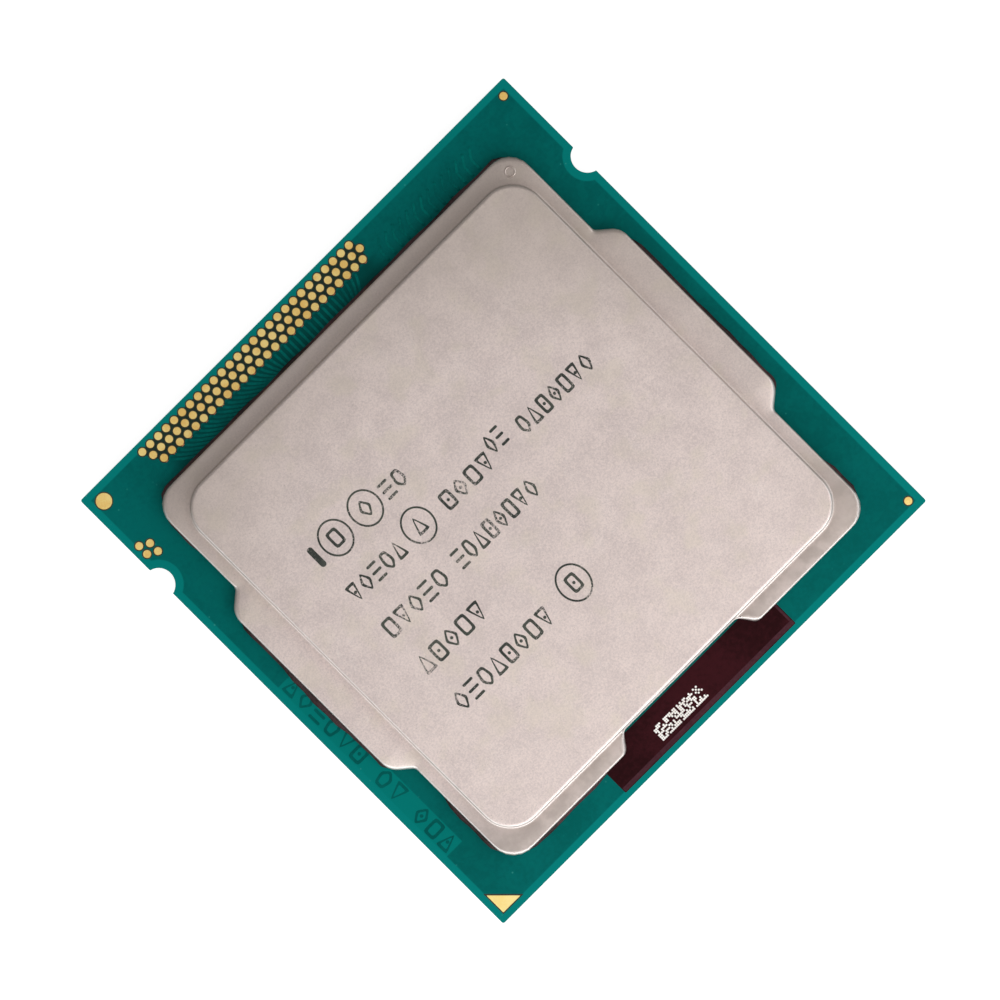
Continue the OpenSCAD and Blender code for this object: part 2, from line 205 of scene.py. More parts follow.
class Tree:
    """Builds a node tree: each call adds a node and gives back its output."""

    def __init__(self, tree):
        self.nodes = tree.nodes
        self.links = tree.links

    def put(self, kind, settings=None, inputs=None, output=0):
        """Adds a node with its settings and inputs, and gives back one output."""
        node = self.nodes.new(kind)
        for name, value in (settings or {}).items():
            setattr(node, name, value)
        for name, value in (inputs or {}).items():
            self.set(node, name, value)
        return node.outputs[output]

    def set(self, node, name, value):
        """Links an output to an input, or gives the input a constant."""
        if isinstance(value, bpy.types.NodeSocket):
            self.links.new(value, node.inputs[name])
        else:
            node.inputs[name].default_value = value

    def math(self, operation, a, b=0.0):
        """One step of arithmetic on two values."""
        return self.put("ShaderNodeMath", {"operation": operation}, {0: a, 1: b})

    def product(self, first, *others):
        """The product of several values."""
        for other in others:
            first = self.math("MULTIPLY", first, other)
        return first

    def ramp(self, value, start, end, low=0.0, high=1.0):
        """A smooth step from low, where value is at start, to high, where it is at end."""
        names = {"Value": value, "From Min": start, "From Max": end, "To Min": low, "To Max": high}
        return self.put("ShaderNodeMapRange", {"interpolation_type": "SMOOTHSTEP"}, names)

    def between(self, value, start, end, soft):
        """1 between start and end, with a soft edge inside both."""
        return self.product(self.ramp(value, start, start + soft), self.ramp(value, end, end - soft))

    def mix(self, factor, a, b):
        """A colour between a and b."""
        return self.put("ShaderNodeMix", {"data_type": "RGBA"}, {0: factor, 6: a, 7: b}, output=2)

    def place(self):
        """The piece's own coordinates, in millimetres."""
        return self.scale(self.put("ShaderNodeTexCoord", output="Object"), 1000.0)

    def split(self, vector):
        """The X, Y and Z outputs of a vector."""
        node = self.nodes.new("ShaderNodeSeparateXYZ")
        self.links.new(vector, node.inputs[0])
        return tuple(node.outputs)

    def scale(self, vector, factor):
        """The vector times one factor."""
        return self.put("ShaderNodeVectorMath", {"operation": "SCALE"}, {0: vector, "Scale": factor})

    def distance(self, vector, point):
        """How far the vector is from a point."""
        inputs = {0: vector, 1: point}
        return self.put("ShaderNodeVectorMath", {"operation": "DISTANCE"}, inputs, output="Value")

    def stretch(self, vector, factors):
        """The vector with each part times its own factor."""
        return self.put("ShaderNodeVectorMath", {"operation": "MULTIPLY"}, {0: vector, 1: factors})

    def noise(self, vector, size, detail=3.0, rough=0.55):
        """Noise from 0 to 1 whose features are about size millimetres wide."""
        names = {"Vector": vector, "Scale": 1.0 / size, "Detail": detail, "Roughness": rough}
        return self.put("ShaderNodeTexNoise", {}, names)

    def group(self, group, inputs=None):
        """A shared group's node, whose outputs are reached by name."""
        node = self.nodes.new("ShaderNodeGroup")
        node.node_tree = group
        for name, value in (inputs or {}).items():
            self.set(node, name, value)
        return node.outputs


def new_group(name, inputs, outputs):
    """An empty shader group with value inputs, given with their defaults, and value outputs."""
    group = bpy.data.node_groups.new(name, "ShaderNodeTree")
    for name_in, value in inputs.items():
        socket = group.interface.new_socket(name_in, in_out="INPUT", socket_type="NodeSocketFloat")
        socket.default_value = value
    for name_out in outputs:
        group.interface.new_socket(name_out, in_out="OUTPUT", socket_type="NodeSocketFloat")
    tree = Tree(group)
    return group, tree, group.nodes.new("NodeGroupInput").outputs, group.nodes.new("NodeGroupOutput").inputs


def surface_group():
    """Grain, cloudy patches and specks at a size in millimetres."""
    outputs = ("Grain", "Patches", "Specks")
    group, tree, given, result = new_group("Surface variation", {"Size": 1.0}, outputs)
    place = tree.scale(tree.place(), tree.math("DIVIDE", 1.0, given["Size"]))
    tree.links.new(tree.noise(place, 0.25, detail=5.0, rough=0.65), result["Grain"])
    tree.links.new(tree.ramp(tree.noise(place, 4.0, detail=3.0), 0.3, 0.7), result["Patches"])
    cells = tree.put("ShaderNodeTexVoronoi", {}, {"Vector": place, "Scale": 1.6}, output="Distance")
    tree.links.new(tree.ramp(cells, 0.14, 0.05), result["Specks"])
    return group


def scratch_group():
    """Fine straight scratches in two directions, broken up by patches."""
    group, tree, given, result = new_group("Fine scratches", {"Spacing": 1.0}, ("Scratches",))
    place = tree.place()
    cell_size = (9.0, 0.35, 1.0)
    found = []
    for turn in (0.5, -1.1):
        inputs = {"Vector": place, "Angle": turn}
        turned = tree.put("ShaderNodeVectorRotate", {"rotation_type": "Z_AXIS"}, inputs)
        long = tree.put("ShaderNodeVectorMath", {"operation": "DIVIDE"}, {0: turned, 1: cell_size})
        spread = tree.scale(long, given["Spacing"])
        lines = tree.put("ShaderNodeTexVoronoi", {"feature": "DISTANCE_TO_EDGE"}, {"Vector": spread})
        broken = tree.ramp(tree.noise(place, 2.5, detail=2.0), 0.52, 0.62)
        found.append(tree.product(tree.ramp(lines, 0.03, 0.0), broken))
    tree.links.new(tree.math("MAXIMUM", *found), result["Scratches"])
    return group


NOTCH_CENTRE = (19.0, 11.55, 0.0)
NOTCH_MARGIN = 1.62
MARGIN_START = 18.22
STRIP_EDGE = -16.88
STRIP_ENDS = (-13.3, 1.74)
# The first pad at the back left, how far the rows of pads lean to the right, per millimetre, and the
# # areas of the rows and of the painted shade between the lid and the rows, over the traces.
FIRST_PAD = (-13.84, 18.16)
ROW_LEAN = 0.577
ROWS_X, ROWS_Y = (-14.1, 4.85), (16.72, 18.36)
LID_SHADE_X, LID_SHADE_Y = (-13.6, 5.6), (15.0, 16.75)


def board_group():
    """Where the lacquer has no copper under it: the margin round the board and the notches, and the
    strip along the left edge. Swirl is the faint relief of what lies under the lacquer. Pads is the
    darker area between the gold pads, partly the film's tone and partly painted shade, and Lid shade
    is painted shade between the pads and the lid, over the traces. Strip, Pads and Lid shade are on
    the upper side only."""
    outputs = ("Margin", "Strip", "Swirl", "Pads", "Lid shade")
    group, tree, _, result = new_group("Bare lacquer", {}, outputs)
    place = tree.place()
    x, y, z = tree.split(place)
    upper = tree.ramp(z, 1.1, 1.3)
    side = tree.math("ABSOLUTE", x)
    edge = tree.math("MAXIMUM", side, tree.math("ABSOLUTE", y))
    from_notch = tree.distance(tree.put("ShaderNodeCombineXYZ", {}, {0: side, 1: y}), NOTCH_CENTRE)
    beside_edge = tree.ramp(edge, MARGIN_START, MARGIN_START + 0.1)
    beside_notch = tree.ramp(from_notch, NOTCH_MARGIN, NOTCH_MARGIN - 0.1)
    tree.links.new(tree.math("MAXIMUM", beside_edge, beside_notch), result["Margin"])
    in_strip = tree.product(tree.between(y, *STRIP_ENDS, 0.08), tree.ramp(x, STRIP_EDGE, STRIP_EDGE - 0.08))
    tree.links.new(tree.product(in_strip, upper), result["Strip"])
    leaning = tree.math("MULTIPLY_ADD", y, ROW_LEAN)
    leaning.node.inputs[2].default_value = -ROW_LEAN * FIRST_PAD[1]
    from_left = tree.ramp(tree.math("ADD", x, leaning), ROWS_X[0], ROWS_X[0] + 0.15)
    from_right = tree.ramp(x, ROWS_X[1], ROWS_X[1] - 0.15)
    rows = tree.product(from_left, from_right, tree.between(y, *ROWS_Y, 0.12))
    tree.links.new(tree.product(rows, upper), result["Pads"])
    # Painted shade: the strip between the lid's back edge and the rows of pads.
    from_lid = tree.ramp(y, LID_SHADE_Y[0], LID_SHADE_Y[0] + 0.4)
    from_rows = tree.ramp(y, LID_SHADE_Y[1], LID_SHADE_Y[1] - 0.15)
    below_rows = tree.product(tree.between(x, *LID_SHADE_X, 1.4), from_lid, from_rows)
    tree.links.new(tree.product(below_rows, upper), result["Lid shade"])
    coarse = {"Vector": place, "Scale": 0.5, "Detail": 1.0}
    bent = tree.put("ShaderNodeTexNoise", {}, coarse, output="Color")
    bend = {0: bent, 1: (3, 3, 3), 2: place}
    moved = tree.put("ShaderNodeVectorMath", {"operation": "MULTIPLY_ADD"}, bend)
    tree.links.new(tree.noise(moved, 0.7, detail=1.0), result["Swirl"])
    return group


surface = surface_group()
scratches = scratch_group()
board = board_group()


def new_material(name, tones, roughness, metallic=0.0, specular=0.5, size=1.0, depth=0.0, cloud=0.3):
    """A material with a shader whose constant values are set here. Its colour varies between two
    tones with the grain and the patches, whose share is cloud, its roughness between two values,
    and its grain is slightly raised. Gives back the material, its tree, its shader, the varied
    colour and the variation's outputs."""
    material = bpy.data.materials.new(name)
    material.use_nodes = True
    tree = Tree(material.node_tree)
    shader = next(node for node in tree.nodes if node.type == "BSDF_PRINCIPLED")
    shader.inputs["Metallic"].default_value = metallic
    shader.inputs["Specular IOR Level"].default_value = specular
    found = tree.group(surface, {"Size": size})
    fine = tree.product(found["Grain"], 1 - cloud)
    amount = tree.ramp(tree.math("ADD", fine, tree.product(found["Patches"], cloud)), 0.3, 0.7)
    varied = tree.mix(amount, *tones)
    tree.set(shader, "Base Color", varied)
    tree.set(shader, "Roughness", tree.ramp(amount, 0.0, 1.0, *roughness))
    if depth:
        raised = {"Height": found["Grain"], "Strength": 1.0, "Distance": depth / 1000}
        tree.set(shader, "Normal", tree.put("ShaderNodeBump", {}, raised))
    return material, tree, shader, varied, found


def nickel_material():
    """Matt nickel: fine-grained, with faint straw-coloured patches, a few light scratches and dark
    specks. Painted shade darkens the flange low down, outside the wings and most at the front, and
    darkens the lid a little towards the back corners; a painted highlight lightens the rounded
    edges that face the front and the left."""
    tones = (tone(214, 199, 195), tone(238, 223, 217))
    material, tree, shader, colour, found = new_material(
        "Nickel plating", tones, (0.47, 0.55), 1.0, size=0.45, depth=0.002, cloud=0.1
    )
    place = tree.place()
    _, y, z = tree.split(place)
    straw = tree.mix(tree.ramp(tree.noise(place, 2.2, 2.0), 0.5, 0.7, 0.0, 0.28), colour, tone(222, 212, 192))
    lines = tree.group(scratches, {"Spacing": 0.6})["Scratches"]
    lit = tree.mix(tree.product(lines, 0.3), straw, tone(250, 240, 234))
    specked = tree.mix(tree.product(found["Specks"], 0.3), lit, tone(140, 128, 118))

    # Painted shade: the flange is darkened low down, outside the wings and most at the front, in uneven
    # streaks.
    low = tree.ramp(z, 3.5, 3.1)
    beside_wings = tree.ramp(tree.math("ABSOLUTE", y), 6.6, 8.6)
    toward_front = tree.ramp(y, -10.0, -16.0, 0.12, 1.0)
    uneven = tree.ramp(tree.noise(place, 1.1, 4.0), 0.32, 0.62, 0.72, 1.0)
    painted_flange_shade = tree.mix(tree.product(low, beside_wings, toward_front, uneven), specked, tone(170, 159, 153))

    # Painted shade: the lid is darkened with the distance from a point over its front, most at the back
    # corners.
    from_front = tree.distance(place, (-3.0, -7.0, 4.0))
    painted_back_shade = tree.mix(tree.ramp(from_front, 15.0, 26.0, 0.0, 0.5), painted_flange_shade, tone(180, 168, 156))

    # Painted highlight: rounded edges that face the front and the left are lightened, and their roughness is
    # lowered a little.
    right, back, up = tree.split(tree.put("ShaderNodeTexCoord", output="Normal"))
    facing_back = tree.math("ADD", back, tree.product(right, 0.3))
    rounded = tree.product(tree.ramp(up, 0.97, 0.8), tree.ramp(up, 0.05, 0.3))
    painted_edge_highlight = tree.product(rounded, tree.ramp(facing_back, 0.45, -0.2))
    tree.set(shader, "Base Color", tree.mix(painted_edge_highlight, painted_back_shade, tone(252, 244, 240)))
    varied = shader.inputs["Roughness"].links[0].from_socket
    tree.set(shader, "Roughness", tree.math("SUBTRACT", varied, tree.product(painted_edge_highlight, 0.1)))
    return material


def lacquer_material():
    """Green lacquer over the copper, with a faint swirl in it: lighter where no copper lies under it, and
    with sparse light specks. It is darker between the gold pads, partly the film's tone and partly
    painted shade, and darker behind the lid, over the traces, which is painted shade of the lid."""
    tones = (tone(0, 94, 90), tone(0, 104, 100))
    material, tree, shader, colour, found = new_material(
        "Green lacquer", tones, (0.3, 0.42), specular=0.03, size=1.0, depth=0.0006
    )
    areas = tree.group(board)
    swirl = tree.mix(tree.ramp(areas["Swirl"], 0.5, 0.62, 0.0, 0.35), colour, tone(0, 106, 100))
    # Between the gold pads the lacquer is darkened towards the film's tone: partly the film, partly painted
    # shade round the pads.
    between = tree.mix(tree.product(areas["Pads"], 0.85), swirl, tone(40, 44, 30))
    # Painted shade of the lid on the lacquer behind it, over the traces.
    painted_lid_shade = tree.mix(tree.product(areas["Lid shade"], 0.8), between, tone(0, 74, 70))
    strip = tree.mix(areas["Strip"], painted_lid_shade, tone(0, 122, 116))
    margin = tree.mix(areas["Margin"], strip, tone(2, 127, 122))
    sparse = tree.ramp(tree.noise(tree.place(), 1.6, 1.0), 0.55, 0.65, 0.0, 0.45)
    specked = tree.mix(tree.product(found["Specks"], sparse), margin, tone(60, 160, 150))
    tree.set(shader, "Base Color", specked)
    return material


def laminate_material():
    """Glass cloth in resin: fine threads along the board's layers."""
    tones = (tone(140, 132, 94), tone(158, 150, 110))
    material, tree, shader, colour, _ = new_material(
        "Glass laminate", tones, (0.55, 0.7), size=1.2, depth=0.002
    )
    threads = tree.noise(tree.stretch(tree.place(), (4.0, 4.0, 16.0)), 1.0, detail=2.0)
    shown = tree.ramp(threads, 0.35, 0.7, 0.0, 0.6)
    tree.set(shader, "Base Color", tree.mix(shown, colour, tone(176, 168, 130)))
    return material


def worn_ink_material(name, tones, metal, wear):
    """Printed ink that is worn through in places down to the metal under it. Wear gives the two
    levels of the noise between which the ink turns into metal."""
    material, tree, shader, ink, found = new_material(name, tones, (0.5, 0.65), size=0.5)
    coarse = tree.noise(tree.place(), 2.4, 2.0)
    broken = tree.math("ADD", tree.product(coarse, 0.5), tree.product(found["Grain"], 0.5))
    worn = tree.ramp(broken, *wear)
    tree.set(shader, "Base Color", tree.mix(worn, ink, metal))
    tree.set(shader, "Metallic", worn)
    return material


def plain(name, dark, light, roughness, metallic=0.0, **options):
    """A material whose colour only varies between a dark and a light display colour."""
    return new_material(name, (tone(*dark), tone(*light)), roughness, metallic, **options)[0]


nickel = nickel_material()
lacquer = lacquer_material()
laminate = laminate_material()
film = plain("Build-up film", (34, 32, 20), (52, 48, 30), (0.5, 0.62), size=1.0, depth=0.001)
copper = plain("Copper", (190, 118, 84), (214, 138, 98), (0.35, 0.5), 1.0, size=1.0, depth=0.001)
gold = plain("Gold plating", (250, 204, 112), (255, 228, 146), (0.42, 0.5), 0.6, size=0.3, depth=0.001)
pale_gold = plain("Pale gold", (255, 226, 140), (255, 234, 158), (0.4, 0.5), 0.6, size=0.6, depth=0.001)
mark_ink = worn_ink_material(
    "Worn marking ink", (tone(30, 36, 30), tone(72, 76, 66)), metal=tone(214, 200, 194), wear=(0.52, 0.64)
)
patch_ink = plain(
    "Dark label ink", (38, 8, 12), (56, 18, 24), (0.45, 0.6), specular=0.05, size=1.2, depth=0.001
)
white_ink = plain("White label ink", (236, 232, 226), (252, 250, 246), (0.5, 0.6), size=0.3)
rim_ink = plain("Raised label ink", (64, 34, 42), (80, 46, 54), (0.45, 0.6), specular=0.05, size=1.0)
strip_ink = plain(
    "Lacquer over sunken marks", (0, 86, 82), (0, 98, 93), (0.3, 0.42), specular=0.03, size=0.6
)
trace_ink = plain("Lacquer over traces", (0, 94, 90), (0, 114, 107), (0.3, 0.42), specular=0.03, size=0.6)
silicone = plain(
    "Silicone sealant", (36, 16, 16), (80, 52, 54), (0.4, 0.6), specular=0.3, size=0.8, depth=0.003
)
silicon = plain("Silicon", (88, 96, 108), (104, 110, 122), (0.12, 0.22), 0.6, size=2.0)
solder = plain("Solder", (176, 178, 182), (204, 206, 210), (0.3, 0.45), 1.0, size=0.3, depth=0.001)
epoxy = plain("Underfill epoxy", (38, 36, 34), (62, 58, 52), (0.4, 0.55), size=1.0, depth=0.002)
paste = plain("Thermal paste", (150, 150, 148), (186, 186, 182), (0.6, 0.8), size=0.8, depth=0.004)
ceramic = plain("Capacitor ceramic", (120, 94, 72), (158, 128, 98), (0.45, 0.6), size=0.3, depth=0.001)
tin = plain("Tin plating", (190, 192, 194), (216, 218, 220), (0.28, 0.42), 1.0, size=0.3, depth=0.001)

# ---------------------------------------------------------------- Lid

spreader_low, spreader_high = node_box("heat_spreader")
board_top = node_box("solder_mask_top")[1][2]
film_top = node_box("copper_plane_top")[0][2]
lid_bottom, lid_top = spreader_low[2], spreader_high[2]
lid_centre = (spreader_low + spreader_high)[:2] / 2
flange_top = lid_bottom + 1.15
FLANGE = np.array([31.66, 32.0])
PLATEAU = np.array([29.66, 29.46])
CAVITY = np.array([25.8, 25.6])
LID_CORNER = 1.6
PLATEAU_CORNER = 2.2
CAVITY_CORNER = 2.0
CEILING = 2.605
# The steps of the wings and of the cut-out: how far they rise, their slope and their two bends, and
# half the length between the two steps at their higher end.
WING = ((spreader_high[0] - spreader_low[0] - FLANGE[0]) / 2, math.radians(50), 0.45, 1.3)
WING_HALF = 6.3
CUT = (1.12, math.radians(55), 0.65, 0.55)
CUT_HALF = 4.7
# The wings lie about the board's middle, given here from the lid's centre.
wing_middle = -lid_centre[1]


def step_run(rise, slope, r_from, r_to):
    """The length of a step along its edge."""
    bends = r_from + r_to
    return bends * math.sin(slope) + (rise - bends * (1 - math.cos(slope))) / math.tan(slope)


def step_height(along, rise, slope, r_from, r_to):
    """The height of a step at a distance along it: an arc of radius r_from up to the slope, a
    straight, and an arc of radius r_to back to level."""
    run = step_run(rise, slope, r_from, r_to)
    s = np.clip(along, 0, run)
    first, last = r_from * math.sin(slope), r_to * math.sin(slope)
    low = r_from - np.sqrt(r_from**2 - np.minimum(s, first) ** 2)
    high = rise - r_to + np.sqrt(r_to**2 - np.minimum(run - s, last) ** 2)
    straight = r_from * (1 - math.cos(slope)) + (s - first) * math.tan(slope)
    return np.where(s <= first, low, np.where(s >= run - last, high, straight))


def in_flange(points):
    """True inside the flange's outline about the lid's centre: |x| <= a + wing(y) and
    -b + cut(x) <= y <= b, with round corners."""
    x, y = np.abs(points[:, 0]), points[:, 1]
    wing = step_height(WING_HALF + step_run(*WING) - np.abs(y - wing_middle), *WING)
    cut = step_height(CUT_HALF + step_run(*CUT) - x, *CUT)
    a, b = FLANGE / 2
    corner = np.stack([x - (a - LID_CORNER), np.abs(y) - (b - LID_CORNER)], axis=1)
    beyond = (corner > 0).all(axis=1) & (np.hypot(corner[:, 0], corner[:, 1]) > LID_CORNER)
    return (x <= a + wing) & (y <= b) & (y >= cut - b) & ~beyond


def on_grid(values, limit, step=0.05):
    """The values on a grid, each once, with both limits."""
    inner = np.unique(np.round(values / step)) * step
    return np.concatenate([[-limit], inner[np.abs(inner) < limit - step], [limit]])


def lid_sections():
    """The core of the plateau's outline, which is the rectangle of its corners' centres, sampled
    anticlockwise from the right side's front end, and finely where the wings and the cut-out step.
    Gives back the points and the angles of their outward normals."""
    a, b = PLATEAU / 2 - PLATEAU_CORNER
    wing = np.arange(5.8, 9.0, 0.1)
    cut = np.arange(4.2, 6.8, 0.1)
    side = on_grid(np.concatenate([np.linspace(-b, b, 27), wing_middle + wing, wing_middle - wing]), b)
    front = on_grid(np.concatenate([np.linspace(-a, a, 27), cut, -cut]), a)
    back = np.linspace(-a, a, 33)
    bend = np.linspace(0, np.pi / 2, 14)[1:-1]
    points, angles = [], []
    for turn, along in enumerate((side, back[::-1], side[::-1], front)):
        across, half = turn % 2, (a, b)[turn % 2]
        straight = np.zeros((len(along), 2))
        straight[:, across] = half if turn < 2 else -half
        straight[:, 1 - across] = along
        corner = np.array([a, b]) * [(1, 1), (-1, 1), (-1, -1), (1, -1)][turn]
        points += [straight, np.repeat(corner[None], len(bend), axis=0)]
        angles += [np.full(len(along), turn * np.pi / 2), turn * np.pi / 2 + bend]
    return np.concatenate(points), np.concatenate(angles)


core, turns = lid_sections()
outward = polar(1.0, turns)
plateau_outline = core + outward * PLATEAU_CORNER


def distance_to_edge():
    """How far each sample of the plateau's outline is from the flange's edge along its normal,
    found by halving the interval."""
    low, high = np.zeros(len(core)), np.full(len(core), 4.0)
    for _ in range(40):
        middle = (low + high) / 2
        inside = in_flange(plateau_outline + outward * middle[:, None])
        low, high = np.where(inside, middle, low), np.where(inside, high, middle)
    return low


ledge = distance_to_edge()
flange_outline = plateau_outline + outward * ledge[:, None]
along_edge = np.roll(flange_outline, -1, axis=0) - np.roll(flange_outline, 1, axis=0)
along_edge /= np.linalg.norm(along_edge, axis=1)[:, None]
edge_normal = np.stack([along_edge[:, 1], -along_edge[:, 0]], axis=1)
cavity_core = core * (CAVITY / 2 - CAVITY_CORNER) / (PLATEAU / 2 - PLATEAU_CORNER)
cavity_outline = cavity_core + outward * CAVITY_CORNER


def lid_ring(outline, z):
    """An outline about the lid's centre as a ring at the height z, or at a height for each point."""
    return np.column_stack([outline + lid_centre, np.broadcast_to(z, len(outline))])


def lid_shape():
    """The lid as one closed loft, from the middle of its top outwards over the rounded edge, down
    the wall, through the hollow fillet to the flange, round its edge, and back into the cavity. The
    edge's rounding is r = 0.17 + 0.34 |n_x n_y|, with n the outline's normal, so it is widest on
    the corners and the slopes."""
    top_edge, wall_draft, hollow = 0.2, 0.05, 0.16
    rim = np.minimum(0.17 + 0.34 * np.abs(edge_normal[:, 0] * edge_normal[:, 1]), ledge * 0.45)
    quarter = np.linspace(0, np.pi / 2, 7)
    rings = [lid_ring(plateau_outline * share, lid_top) for share in (0.03, 0.3, 0.6, 0.85, 0.95)]
    rings += [lid_ring(plateau_outline - outward * (top_edge + gap), lid_top) for gap in (0.3, 0.03)]
    for t in quarter:
        inset, drop = top_edge * (1 - math.sin(t)), top_edge * (1 - math.cos(t))
        rings.append(lid_ring(plateau_outline - outward * inset, lid_top - drop))
    profile = [(wall_draft * 0.8, flange_top + hollow + 0.05)]
    profile += [
        (wall_draft + hollow * (1 - math.cos(t)), flange_top + hollow * (1 - math.sin(t))) for t in quarter
    ]
    profile += [(wall_draft + hollow + 0.04, flange_top)]
    for i, (offset, z) in enumerate(profile):
        room = ledge - rim - 0.002 * (len(profile) - i)
        rings.append(lid_ring(plateau_outline + outward * np.minimum(offset, room)[:, None], z))
    for t in quarter[::2]:
        inset, drop = rim * (1 - math.sin(t)), rim * (1 - math.cos(t))
        rings.append(lid_ring(flange_outline - edge_normal * inset[:, None], flange_top - drop))
    foot = 0.05
    rings += [
        lid_ring(flange_outline, lid_bottom + foot),
        lid_ring(flange_outline - edge_normal * foot * 0.3, lid_bottom + foot * 0.3),
        lid_ring(flange_outline - edge_normal * foot, lid_bottom),
        lid_ring(cavity_outline + outward * 0.08, lid_bottom),
        lid_ring(cavity_outline + outward * 0.02, lid_bottom + 0.02),
        lid_ring(cavity_outline, lid_bottom + 0.08),
        lid_ring(cavity_outline, CEILING - 0.25),
        lid_ring(cavity_outline - outward * 0.08, CEILING - 0.08),
        lid_ring(cavity_outline - outward * 0.25, CEILING),
    ]
    rings += [lid_ring(cavity_outline * share, CEILING) for share in (0.95, 0.5, 0.03)]
    return loft(rings)


add_piece("lid", lid_shape(), nickel, ["heat_spreader"])


def punched_ring():
    """The small round mark that the press leaves on the flange: a shallow raised lip."""
    middle = np.array([14.83, 14.25])
    circle = figure(0, 0, 40)
    radii = np.array([0.24, 0.27, 0.31, 0.35, 0.385])
    heights = flange_top + np.array([-0.02, 0.03, 0.055, 0.03, -0.02])
    return loft([lift(circle * r + middle, z) for r, z in zip(radii, heights)], wrap=True)


add_piece("punched_ring", punched_ring(), nickel)


# ---------------------------------------------------------------- Sealant

VENT_HALF = 4.1


def window(value, start, end, soft=0.8):
    """1 between start and end, falling off smoothly over soft at both ends."""
    rise = np.clip((value - start) / soft, 0, 1)
    fall = np.clip((end - value) / soft, 0, 1)
    return (3 - 2 * rise) * rise**2 * (3 - 2 * fall) * fall**2


def squeeze_out(x, y):
    """How far the sealant comes out from under the lid's edge at a point of its outline, in
    millimetres: more along the wings, the back edge and the front left corner."""
    left, right = window(-x, 15.4, 20, 0.2), window(x, 15.4, 20, 0.2)
    back, front = window(y, 15.0, 20, 0.2), window(-y, 16.2, 20, 0.2)
    uneven = 0.04 * np.sin(1.7 * x + 0.9 * y) + 0.03 * np.sin(3.1 * y - 1.3 * x)
    amount = (
        left * (0.22 * window(y, -7.0, 6.4) + 0.14 * window(y, -4.5, 3.5, 2.5))
        + left * (0.3 * window(y, -15.6, -10.6) + 0.14 * window(y, 10.8, 14.4))
        + right * (0.25 * window(y, -7.4, 6.2) + 0.22 * window(y, -15.6, -12.2))
        + back * 0.24 * window(x, -15.4, 15.4)
        + front * 0.22 * window(x, -14.6, -7.2)
    )
    return amount * (1 + 3 * uneven) - 0.03


def sealant_shape():
    """A bead between the cavity and the lid's edge, open at the vent. Its section is a closed ring
    of eight points that bulges past the edge where the sealant was squeezed out."""
    place = flange_outline + lid_centre
    order = np.arange(len(core))
    vent = (place[:, 1] < 0) & (np.abs(place[:, 0]) < VENT_HALF)
    start = order[vent].max() + 1
    kept = np.roll(order, -start)[: len(core) - vent.sum()]
    out = squeeze_out(place[:, 0], place[:, 1])
    climb = np.clip(out, 0, 0.3)
    base, under = board_top, lid_bottom

    def row(offset, z):
        """The kept points at an offset from the lid's edge."""
        return lid_ring(flange_outline + edge_normal * offset[:, None], z)[kept]

    inner = cavity_outline + lid_centre
    sections = [
        lift(inner, under)[kept],
        row(np.minimum(out, -0.03) - 0.03, under),
        row(np.where(out > 0, 0.0, out), under + 0.45 * climb),
        row(out * 0.55 + 0.01, under + 0.25 * climb),
        row(out, (base + under) / 2),
        row(out + 0.02, base + 0.02),
        row(out - 0.01, base - 0.005),
        lift(inner, base)[kept],
    ]
    points = np.stack(sections, axis=1)
    return loft(points[::-1])


add_piece("sealant_bead", sealant_shape(), silicone, ["lid_sealant"])

# ---------------------------------------------------------------- Marks in place of lettering

STROKE = 0.18
# Each figure: its corners, its turn in sectors, and 0 for an outline, 1 for one with a dot or 2 for
# three bars.
MARK_FIGURES = (
    (4, 0.5, 0), (3, 0.5, 1), (4, 0.0, 0), (0, 0.0, 2), (5, 0.5, 0), (3, 0.0, 0), (4, 0.5, 1), (4, 0.0, 1)
)


def stroke_bar(x_from, x_to, y_from, y_to, bottom, top):
    """A short straight stroke with round ends."""
    middle = [(x_from + x_to) / 2, (y_from + y_to) / 2]
    width, depth = x_to - x_from, y_to - y_from
    return plate(rectangle(width, depth, min(width, depth) * 0.45) + middle, bottom, top)


def mark(index, middle, size, stroke, bottom, top):
    """One plain figure: an outline with or without a dot, or three bars. Nothing here is a letter."""
    corners, turn, kind = MARK_FIGURES[index % len(MARK_FIGURES)]
    middle, half = np.array(middle), np.array(size) / 2
    if kind == 2:
        return [
            stroke_bar(middle[0] - half[0], middle[0] + half[0], y - stroke / 2, y + stroke / 2, bottom, top)
            for y in middle[1] + np.array([-1, 0, 1]) * (half[1] - stroke / 2)
        ]
    outline = figure(corners, turn * 2 * np.pi / max(corners, 1) + np.pi / 2, blunt=0.9)
    low, high = outline.min(axis=0), outline.max(axis=0)
    outline = (2 * outline - low - high) / (high - low)
    shapes = [band(outline * half + middle, outline * (half - stroke) + middle, bottom, top)]
    if kind == 1:
        shapes.append(plate(figure(0, 0, 12) * stroke * 0.6 + middle, bottom, top))
    return shapes


def mark_row(first, count, x_from, x_to, y_from, y_to, bottom, top, stroke=STROKE):
    """Figures of equal size in a row that fills the width."""
    share = 0.78
    pitch = (x_to - x_from) / (count - 1 + share)
    size = (pitch * share, y_to - y_from)
    shapes = []
    for i in range(count):
        middle = (x_from + (i + share / 2) * pitch, (y_from + y_to) / 2)
        shapes += mark(first + i, middle, size, stroke, bottom, top)
    return shapes


def ring_mark(index, middle, radii, bottom, top):
    """A ring, with its radii along X and Y, round a small figure."""
    outline, radii, middle = figure(0, 0, 48), np.array(radii), np.array(middle)
    ring = band(outline * radii + middle, outline * (radii - STROKE * 0.7) + middle, bottom, top)
    return [ring] + mark(index, middle, radii * [0.75, 0.95], STROKE, bottom, top)


